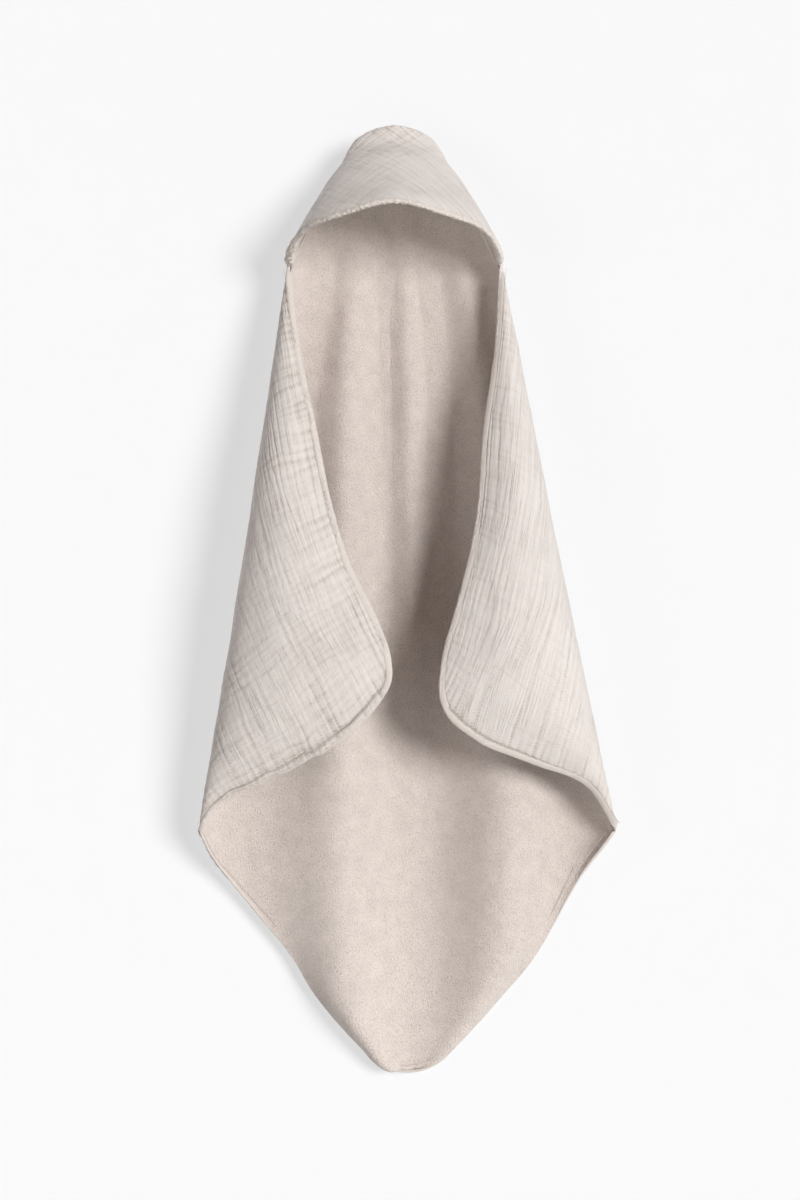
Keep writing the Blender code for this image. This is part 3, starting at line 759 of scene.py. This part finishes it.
def backGrid(columns):
    share = np.linspace(0, 1, sheets["backHoodRows"] + 1)
    levels = list(top + (hoodEnd - top) * (1 - np.cos(share * math.pi / 2)))
    levels += list(np.linspace(hoodEnd, foldEnd, sheets["backFoldRows"] + 1)[1:])
    share = np.linspace(0, 1, sheets["backLowRows"] + 1)[1:]
    levels += list(foldEnd + (tip - sheets["edgeIn"] - foldEnd) * np.sin(share * math.pi / 2))
    points, flat = [], []
    for down in levels:
        row = backRow(down)
        length = np.linalg.norm(np.diff(row, axis=0), axis=1).sum()
        half = float(edgeHalf(down))
        if hoodEnd < down < foldEnd:
            cut = 1 - 2 * cutDistance(down) / length
        elif down >= foldEnd:
            cut = max(float(flatHalf(down, sheets["edgeIn"])), 0.0) / half
        else:
            cut = 1.0
        shares = np.linspace(-cut, cut, columns + 1)
        points.append(along(row, (shares + 1) / 2))
        flat.append(np.column_stack((shares * half, np.full_like(shares, down))))
    points = np.array(points)
    return {"points": points, "flat": np.array(flat), "normals": gridNormals(points),
            "levels": np.array(levels)}


def flapGrid(side, columns):
    points, flat, beyond, thin = [], [], [], []
    for k in np.linspace(0, 1, sheets["flapRows"] + 1):
        down = hoodEnd + (foldEnd - hoodEnd) * k
        back = backRow(down)
        if side < 0:
            back = back[::-1]
        backLength = np.linalg.norm(np.diff(back, axis=0), axis=1).sum()
        front = flapRow(side, k)
        frontLength = max(np.linalg.norm(np.diff(front, axis=0), axis=1).sum(), 0.0001)
        half = float(edgeHalf(down))
        cut = cutDistance(down)
        last = max(frontLength - sheets["edgeIn"], 0.0005)
        places = np.linspace(-cut, last, columns + 1)
        fold = np.array((side * half, down))
        free = np.array(flatFreeEdge(side, k))
        onBack = places < 0
        row = np.where(onBack[:, None], along(back, 1 + np.minimum(places, 0) / backLength),
                       along(front, np.maximum(places, 0) / frontLength))
        backFlat = np.column_stack((side * half * (1 + 2 * places / backLength),
                                    np.full_like(places, down)))
        u = np.maximum(places, 0)[:, None] / frontLength
        points.append(row)
        flat.append(np.where(onBack[:, None], backFlat, fold + (free - fold) * u))
        beyond.append(ease(places / 0.02) * (1 - ease(min(k, 1 - k) / 0.06)))
        thin.append(sheets["thinShare"]
                    + (1 - sheets["thinShare"]) * float(ease((1 - k) / sheets["thinTaper"])))
    points = np.array(points)
    for _ in range(3):  # the turn at the fold is eased, clear of the cut and the free edge
        points[:, 2:-1] = (points[:, 1:-2] + 2 * points[:, 2:-1] + points[:, 3:]) / 4
    return {"points": points, "flat": np.array(flat), "normals": gridNormals(points),
            "levels": np.linspace(hoodEnd, foldEnd, sheets["flapRows"] + 1),
            "beyond": np.array(beyond), "thin": np.array(thin)[:, None]}


def joinNormals(back, flaps):  # where a flap's piece meets the back's, both lean the same way
    for side, flap in flaps.items():
        edge = 0 if side < 0 else -1
        between = (back["levels"] > hoodEnd) & (back["levels"] < foldEnd)
        backEdge = back["normals"][between, edge]
        flapEdge = flap["normals"][:, 0]
        sign = np.sign((backEdge[len(backEdge) // 2] * flapEdge[len(flapEdge) // 2]).sum())
        atBack = np.column_stack([np.interp(back["levels"][between], flap["levels"],
                                            flapEdge[:, i]) for i in range(3)]) * sign
        atFlap = np.column_stack([np.interp(flap["levels"], back["levels"][between],
                                            backEdge[:, i]) for i in range(3)]) * sign
        for normals, own, other in ((back["normals"], (between, edge), atBack),
                                    (flap["normals"], (slice(None), 0), atFlap)):
            mean = normals[own] + other
            normals[own] = mean / np.linalg.norm(mean, axis=1, keepdims=True)


def hoodGrid():
    share = np.linspace(0, 1, sheets["hoodRows"] + 1)
    levels = top + (hoodEnd - sheets["hoodShort"] - top) * (1 - np.cos(share * math.pi / 2))
    points, flat = [], []
    for down in levels:
        shares = np.linspace(-1, 1, sheets["hoodColumns"] + 1)
        points.append(along(hoodRow(down), (shares + 1) / 2))
        half = float(edgeHalf(down))
        flat.append(np.column_stack((shares * half, np.full_like(shares, down))))
    points = np.array(points)
    return {"points": points, "flat": np.array(flat), "normals": gridNormals(points)}


# a corner's cloth turns with the back up to the first depth, and with the corner from the second
near = cloth["gap"] / 2

muslinGrid = backGrid(sheets["muslinColumns"])
terryGrid = backGrid(sheets["terryColumns"])
muslinFlaps = {side: flapGrid(side, sheets["flapColumns"]) for side in (-1, 1)}
terryFlaps = {side: flapGrid(side, sheets["terryFlapColumns"]) for side in (-1, 1)}
joinNormals(muslinGrid, muslinFlaps)
joinNormals(terryGrid, terryFlaps)
lift, shade = crinkleOf(muslinGrid["flat"])
muslinBack = addSheet("muslinBack", muslinGrid, near, near + cloth["muslin"], -1, muslin,
                      lift, shade, topClosed=True)
terryBack = addSheet("terryBack", terryGrid, near, near + cloth["terry"], 1, terry,
                     terrySwell(terryGrid["flat"]))
for piece, node, finish in ((muslinBack, "muslin_back", "muslin"),
                            (terryBack, "terry_back", "terry")):
    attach(piece, "towel")
    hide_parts(node)
print("back made")

binding = {
    "wide": 0.0084,  # as it shows on one face
    "high": 0.0026,
    "in": 0.0038,  # its middle's distance inside the cloth's edge
    "past": 0.0006,
    "hem": {-1: 0.34, 1: 0.0},  # how much narrower it is along the lower leg
    "spacing": 0.0022,
    "lowerWide": 0.0030,  # round the lower edges it lies behind and shows as a narrow rim
    "lowerHigh": 0.0020,
    "lowerIn": 0.0012,
}
stitch = {"pitch": 0.0036, "length": 0.0029, "radius": 0.00042, "sunk": 0.0004}
turns = np.linspace(0, 2 * math.pi, 16, endpoint=False)


def flattened(wide, high, roundness):  # a rounded flat section
    return np.column_stack((wide / 2 * np.sign(np.cos(turns)) * np.abs(np.cos(turns)) ** roundness,
                            high * np.sign(np.sin(turns)) * np.abs(np.sin(turns)) ** roundness))


def rippleOf(rows, seed, tapers):  # slight puckers along a bound edge, narrower at its ends
    places = np.arange(rows)[:, None] * binding["spacing"]
    places, around = np.broadcast_arrays(places, turns * 0.004)
    ripple = 1 + 0.06 * wobble(places, around, 0.007, seed)
    ends = ease(places / tapers[0]) * ease(places[::-1] / tapers[1] + 0.1)
    return ripple * (0.20 + 0.80 * ends)


for side, word in ((-1, "Left"), (1, "Right")):
    body = f"{word.lower()}_flap"
    grid = muslinFlaps[side]
    lift, shade = crinkleOf(grid["flat"])
    outer = addSheet(f"muslin{word}Flap", grid, near, near + cloth["muslin"] * grid["thin"],
                     -side, muslin, lift * grid["thin"], shade)
    liningGrid = terryFlaps[side]
    # the terry is thinner where the fold runs out
    thick = cloth["terry"] * (1 - 0.6 * liningGrid["beyond"]) * liningGrid["thin"]
    lining = addSheet(f"terry{word}Flap", liningGrid, near, near + thick, side, terry,
                      terrySwell(liningGrid["flat"]))

    edge = grid["points"][:, -1]
    out, up = edgeFrames(edge, grid["points"][:, -4])
    up = up if up[:, 1].mean() < 0 else -up
    share = np.linspace(0, 1, len(edge))
    narrow = 1 - binding["hem"][side] * ease((share - 0.56) / 0.10)
    inward = narrow * (binding["in"] + binding["past"]) - binding["past"]
    path = (edge + out * (sheets["edgeIn"] - inward)[:, None]
            - up * (cloth["terry"] - cloth["muslin"]) / 2)
    both = resample(np.column_stack((path, out, up, narrow)), binding["spacing"])
    swell = rippleOf(len(both), 51 + side, (0.022, 0.016)) * both[:, 9:]
    edging = addStrip(f"binding{word}Flap", both[:, :3], both[:, 3:6], both[:, 6:9],
                      flattened(binding["wide"], binding["high"], 0.62), bindingCloth, swell)
    stitchPath = (edge + out * (sheets["edgeIn"] - crinkle["stitchLine"] - stitch["sunk"])
                  + up * (near + cloth["muslin"] - stitch["sunk"]))
    stitches = addStitches(f"stitching{word}Flap", stitchPath[3:-3], up[3:-3], stitch, thread)
    for piece, node, finish in ((outer, "muslin", "muslin"), (lining, "terry", "terry"),
                                (edging, "binding", "binding"),
                                (stitches, "stitching", "thread")):
        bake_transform(piece)
        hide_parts(f"{node}_{body}")
    print(word, "flap made")

# the lower edges: binding and stitches from one fold's end, round the tip, to the other's
levels = foldEnd + (tip - foldEnd) * np.sin(np.linspace(0, 1, 140) * math.pi / 2)
leftEdge, rightEdge = [], []
for down in levels:
    row = backRow(min(down, tip - 0.00001))
    leftEdge.append(row[0])
    rightEdge.append(row[-1])
edge = np.array(leftEdge + rightEdge[::-1][1:])
edge = resample(smoothPath(edge, 2), binding["spacing"])
lowerMiddle = np.array((hang["leanLow"], float(edge[:, 1].mean()), float(height(foldEnd))))
inner = edge + (lowerMiddle - edge) * 0.02
out, up = edgeFrames(edge, inner)
if up[:, 1].mean() > 0:
    up = -up
path = edge - out * binding["lowerIn"]
bindingLower = addStrip("bindingLower", path, out, up,
                        flattened(binding["lowerWide"], binding["lowerHigh"], 0.9), bindingCloth,
                        rippleOf(len(path), 57, (0.004, 0.004)))
stitchPath = edge - out * crinkle["stitchLine"] + up * (near + cloth["terry"] - 0.0003)
stitchingLower = addStitches("stitchingLower", stitchPath[3:-3], up[3:-3], stitch, thread)
for piece, node, finish in ((bindingLower, "binding_lower", "binding"),
                            (stitchingLower, "stitching_lower", "thread")):
    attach(piece, "towel")
    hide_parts(node)
print("lower edge made")

# the hood, its rolled front edge and its seams
hood = hoodGrid()
lift, shade = crinkleOf(hood["flat"], False)
hoodOuter = addSheet("hoodOuter", hood, near, near + cloth["muslin"], 1, muslin, lift * 0.85,
                     shade, topClosed=True)
hoodLining = addSheet("hoodLining", hood, near, near + cloth["terry"], -1, terry)
edge = hood["points"][-1]
out, up = edgeFrames(edge, hood["points"][-4])
if up[len(up) // 2, 1] > 0:
    up = -up
roll = {"radius": 0.0029, "spacing": 0.0011, "rough": 0.34, "out": 0.0012, "back": 0.0008}
path = edge + out * roll["out"] - up * roll["back"]
both = resample(np.column_stack((path, out, up)), roll["spacing"])
rollProfile = np.column_stack((np.cos(turns), np.sin(turns))) * roll["radius"]
fuzz = 1 + roll["rough"] * np.random.RandomState(61).uniform(-1, 1, (len(both), len(turns)))
fromLeft = np.arange(len(both))[:, None] * roll["spacing"]
fromRight = fromLeft[::-1]
# it swells towards both ends, and closes in over their last few millimetres
fuzz *= 1 + 0.70 * np.exp(-(fromLeft / 0.034) ** 2) + 0.4 * np.exp(-(fromRight / 0.03) ** 2)
fuzz *= 0.75 + 0.25 * ease(fromLeft / 0.004) * ease(fromRight / 0.004)
hoodRoll = addStrip("hoodFrontRoll", both[:, :3], both[:, 3:6], both[:, 6:], rollProfile,
                    terryRoll, fuzz)
seamLevels = top + (hoodEnd - top) * (1 - np.cos(np.linspace(0, 1, 90) * math.pi / 2))
seam = np.array([sidePoint(-1, down) for down in seamLevels[::-1]]
                + [sidePoint(1, down) for down in seamLevels[1:]])
seam = resample(smoothPath(seam, 1), 0.002)
hoodMiddle = np.array((0.0, rearY - 0.04, -0.16))
out, up = edgeFrames(seam, hoodMiddle + np.zeros_like(seam))
seamProfile = np.column_stack((np.cos(turns) * 0.0016, np.sin(turns) * 0.0022))
hoodSeam = addStrip("hoodSeam", seam, out, up, seamProfile, muslin)
for piece, node, finish in ((hoodOuter, "hood_outer", "muslin"),
                            (hoodLining, "hood_lining", "terry"),
                            (hoodRoll, "hood_front_roll", "terry_roll"),
                            (hoodSeam, "hood_seam", "muslin")):
    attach(piece, "towel")
    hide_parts(node)

# the tapes over the hood's seams, from a share of the way down the hood to its end
tape = {"wide": 0.0085, "thick": 0.0010, "from": 0.5}
for side, word in ((-1, "Left"), (1, "Right")):
    centre, wayIn = [], []
    for down in np.linspace(tape["from"] * hoodEnd, hoodEnd, 40):
        row = backRow(down)
        ends = row[:20] if side < 0 else row[::-1][:20]
        centre.append(along(ends, (0.35,))[0])
        inward = ends[8] - ends[2]
        wayIn.append(inward / np.linalg.norm(inward))
    centre = smoothPath(np.array(centre), 3)
    wayIn = np.array(wayIn)
    way = np.gradient(centre, axis=0)
    normal = np.cross(way, wayIn)
    normal /= np.linalg.norm(normal, axis=1, keepdims=True)
    inside = np.array((0.0, -0.04, -0.1)) - centre
    normal *= np.sign(np.einsum("ij,ij->i", normal, inside))[:, None]
    centre = centre + normal * (near + cloth["terry"] + tape["thick"] / 2 + 0.0002)
    profile = np.column_stack((np.cos(turns) * tape["wide"] / 2,
                               np.sign(np.sin(turns)) * np.abs(np.sin(turns)) ** 0.5
                               * tape["thick"] / 2))
    piece = addStrip(f"seamTape{word}", centre, wayIn, normal, profile, tapeCloth)
    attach(piece, "towel")
    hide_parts(f"seam_tape_{word.lower()}")
print("hood made")

# the hanging loop, its bar tacks and the blank label
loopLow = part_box("hanging_loop")[0]
loop = {"radius": 0.0020, "half": 0.0090, "leg": 0.0005, "seam": 0.036}
arcHeight = loop["seam"] + loop["radius"] - loop["half"]
legs = np.linspace(loop["leg"], arcHeight, 20)
arc = np.linspace(0, math.pi, 40)[1:-1]
path = np.array([(-loop["half"], 0.0, z) for z in legs]
                + [(-loop["half"] * math.cos(a), 0.0, arcHeight + loop["half"] * math.sin(a))
                   for a in arc]
                + [(loop["half"], 0.0, z) for z in legs[::-1]])
path[:, 2] += float(loopLow[2]) - path[:, 2].min()
way = np.gradient(path, axis=0)
way /= np.linalg.norm(way, axis=1, keepdims=True)
sideways = np.tile((0.0, 1.0, 0.0), (len(path), 1))
across = np.cross(way, sideways)
seamDip = 1 - 0.22 * np.exp(-((turns - math.pi / 2) / 0.35) ** 2)
loopProfile = np.column_stack((np.cos(turns), np.sin(turns))) * loop["radius"] * seamDip[:, None]
hangingLoop = addStrip("hangingLoop", path, across, sideways, loopProfile, bindingCloth)
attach(hangingLoop, "loop")
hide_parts("hanging_loop")

# each bar tack is one thread sewn to and fro over the loop's end
for word in ("left", "right"):
    low, high = (np.array(corner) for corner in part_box(f"loop_tack_{word}"))
    middlePlace = (low + high) / 2
    size = high - low
    zigzag = np.array([(middlePlace[0] + size[0] * share, middlePlace[1],
                        middlePlace[2] + size[2] * (0.30 if i % 2 else -0.30))
                       for i, share in enumerate(np.linspace(-0.46, 0.46, 12))])
    zigzag = resample(zigzag, 0.0004)
    way = np.gradient(zigzag, axis=0)
    way /= np.linalg.norm(way, axis=1, keepdims=True)
    front = np.tile((0.0, 1.0, 0.0), (len(zigzag), 1))
    profile = np.column_stack((np.cos(turns) * 0.00035, np.sin(turns) * size[1] * 0.48))
    tack = addStrip(f"barTack{word.capitalize()}", zigzag, np.cross(way, front), front,
                    profile, thread)
    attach(tack, "towel")
    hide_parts(f"loop_tack_{word}")

label = {"size": (0.022, 0.0006, 0.034), "place": (-0.032, -0.0008, -0.0500),
         "lean": math.radians(15), "play": 0.0006, "bow": 0.0006}
drop = np.linspace(0, 1, 36)
labelPath = np.array([(0.0, 0.0, -label["play"] - share * label["size"][2]) for share in drop])
labelPath[:, 1] += label["bow"] * np.sin(drop * 2.4)
lean = np.array(((1, 0, 0), (0, math.cos(label["lean"]), -math.sin(label["lean"])),
                 (0, math.sin(label["lean"]), math.cos(label["lean"]))))
labelPath = labelPath @ lean.T + np.array(label["place"])
wide = np.tile((1.0, 0.0, 0.0), (len(drop), 1))
way = np.gradient(labelPath, axis=0)
way /= np.linalg.norm(way, axis=1, keepdims=True)
face = np.cross(way, wide)
flatTurn = np.column_stack((np.sign(np.cos(turns)) * np.abs(np.cos(turns)) ** 0.3
                            * label["size"][0] / 2,
                            np.sign(np.sin(turns)) * np.abs(np.sin(turns)) ** 0.6
                            * label["size"][1] / 2))
careLabel = addStrip("careLabel", labelPath, wide, face, flatTurn, labelCloth)
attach(careLabel, "label")
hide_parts("care_label")
low, high = (np.array(corner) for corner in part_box("label_stitching"))
rowOfStitches = np.array([(low[0] + (high[0] - low[0]) * share, low[1] + 0.0002,
                           (low[2] + high[2]) / 2) for share in np.linspace(0.03, 0.97, 20)])
labelStitches = addStitches("labelStitching", rowOfStitches,
                            np.tile((0.0, -1.0, 0.0), (20, 1)),
                            {"pitch": 0.0026, "length": 0.0021, "radius": 0.00035}, thread)
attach(labelStitches, "towel")
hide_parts("label_stitching")
print("loop and label made")

# the wall, the floor, the lights and the camera
stage = {"wallY": rearY + 0.0068, "floorZ": -1.35, "wall": "#f6f7f8", "floor": "#f1f0ee"}
# each soft sun: strength, turn to the right of square on, rise above level, and width, in degrees
studio = {"key": (2.72, 37, 10, 24), "fill": (0.44, -52, -6, 34), "rear": (1.2, 205, 30, 40),
          "sides": 0.34, "front": 0.15, "room": "#fbfbfc", "warm": "#b25c2e",
          "wallGlow": 0.55, "wallShare": 0.45}


def stagePlane(name, size, place, turn, material):
    bpy.ops.mesh.primitive_plane_add(size=1.0, location=place, rotation=turn)
    plane = bpy.context.object
    plane.name = name
    plane.scale = (size[0], size[1], 1.0)
    plane.data.materials.append(material)
    plane.select_set(False)
    return plane


# matt white wall paint: it glows a little, so that the towel's shadow stays light
wallPaint = bpy.data.materials.new("mattWhiteWallPaint")
wallPaint.use_nodes = True
tree = wallPaint.node_tree
shader = tree.nodes["Principled BSDF"]
shader.inputs["Base Color"].default_value = [
    channel * studio["wallShare"] for channel in linear(stage["wall"])[:3]] + [1.0]
shader.inputs["Emission Color"].default_value = linear(stage["wall"])
shader.inputs["Emission Strength"].default_value = studio["wallGlow"]
shader.inputs["Roughness"].default_value = 0.95
shader.inputs["Specular IOR Level"].default_value = 0.1
clear = addNode(tree, "ShaderNodeBsdfTransparent")
behind = addNode(tree, "ShaderNodeNewGeometry")
mix = addNode(tree, "ShaderNodeMixShader", {}, {}, {0: behind.outputs["Backfacing"],
                                                     1: shader.outputs["BSDF"],
                                                     2: clear.outputs["BSDF"]})
tree.links.new(mix.outputs[0], tree.nodes["Material Output"].inputs["Surface"])
# pale matt floor, plain
floorPaint = bpy.data.materials.new("paleMattFloor")
floorPaint.use_nodes = True
floorShader = floorPaint.node_tree.nodes["Principled BSDF"]
floorShader.inputs["Base Color"].default_value = linear(stage["floor"])
floorShader.inputs["Roughness"].default_value = 0.9

wall = stagePlane("wall", (8.0, 5.0), (0, stage["wallY"], stage["floorZ"] + 2.5),
                  (math.radians(90), 0, 0), wallPaint)
wall.visible_shadow = False
wall.visible_diffuse = False
stagePlane("floor", (12.0, 12.0), (0, 0, stage["floorZ"]), (0, 0, 0), floorPaint)

world = bpy.data.worlds.new("studio")
bpy.context.scene.world = world
world.use_nodes = True
tree = world.node_tree
background = tree.nodes["Background"]
# the room is bright at the sides and above, and darker towards the open front
outward = addNode(tree, "ShaderNodeTexCoord").outputs["Generated"]
fromFront = addNode(tree, "ShaderNodeVectorMath", {"operation": "DOT_PRODUCT"},
                    {1: (0.0, -1.0, 0.0)}, {0: outward}).outputs["Value"]
strength = addNode(tree, "ShaderNodeMapRange", {"interpolation_type": "SMOOTHSTEP"},
                   {1: 0.55, 2: 0.97, 3: studio["sides"], 4: studio["front"]},
                   {0: fromFront})
tree.links.new(strength.outputs[0], background.inputs["Strength"])
warmth = addNode(tree, "ShaderNodeMapRange", {"interpolation_type": "SMOOTHSTEP"},
                 {1: 0.45, 2: 0.90, 3: 0.0, 4: 1.0}, {0: fromFront})
roomTint = addNode(tree, "ShaderNodeMix", {"data_type": "RGBA"},
                   {6: linear(studio["room"]), 7: linear(studio["warm"])},
                   {0: warmth.outputs[0]})
tree.links.new(roomTint.outputs[2], background.inputs["Color"])
seen = addNode(tree, "ShaderNodeBackground", {}, {"Color": linear("#f9f9f9"), "Strength": 1.0})
rays = addNode(tree, "ShaderNodeLightPath")
mix = addNode(tree, "ShaderNodeMixShader", {}, {}, {0: rays.outputs["Is Camera Ray"],
                                                     1: background.outputs[0],
                                                     2: seen.outputs[0]})
tree.links.new(mix.outputs[0], tree.nodes["World Output"].inputs["Surface"])


def addSoftSun(name, strength, turn, rise, angle):
    data = bpy.data.lights.new(name, "SUN")
    data.energy = strength
    data.angle = math.radians(angle)
    lamp = bpy.data.objects.new(name, data)
    bpy.context.scene.collection.objects.link(lamp)
    lamp.location = (0.0, -2.0, 1.0)
    lamp.rotation_euler = (math.radians(90 - rise), 0.0, math.radians(turn))


for word in ("key", "fill", "rear"):
    addSoftSun(f"{word}Light", *studio[word])
print("stage and lights made")

view = {"place": (0.0, -3.244, -0.517), "lens": 86, "sensor": 36}
camera = bpy.data.objects.new("camera", bpy.data.cameras.new("camera"))
bpy.context.scene.collection.objects.link(camera)
camera.location = view["place"]
camera.rotation_euler = (math.radians(90), 0.0, 0.0)  # level, and square on to the wall
camera.data.lens = view["lens"]
camera.data.sensor_width = view["sensor"]
bpy.context.scene.camera = camera
bpy.context.scene.view_settings.view_transform = "Standard"
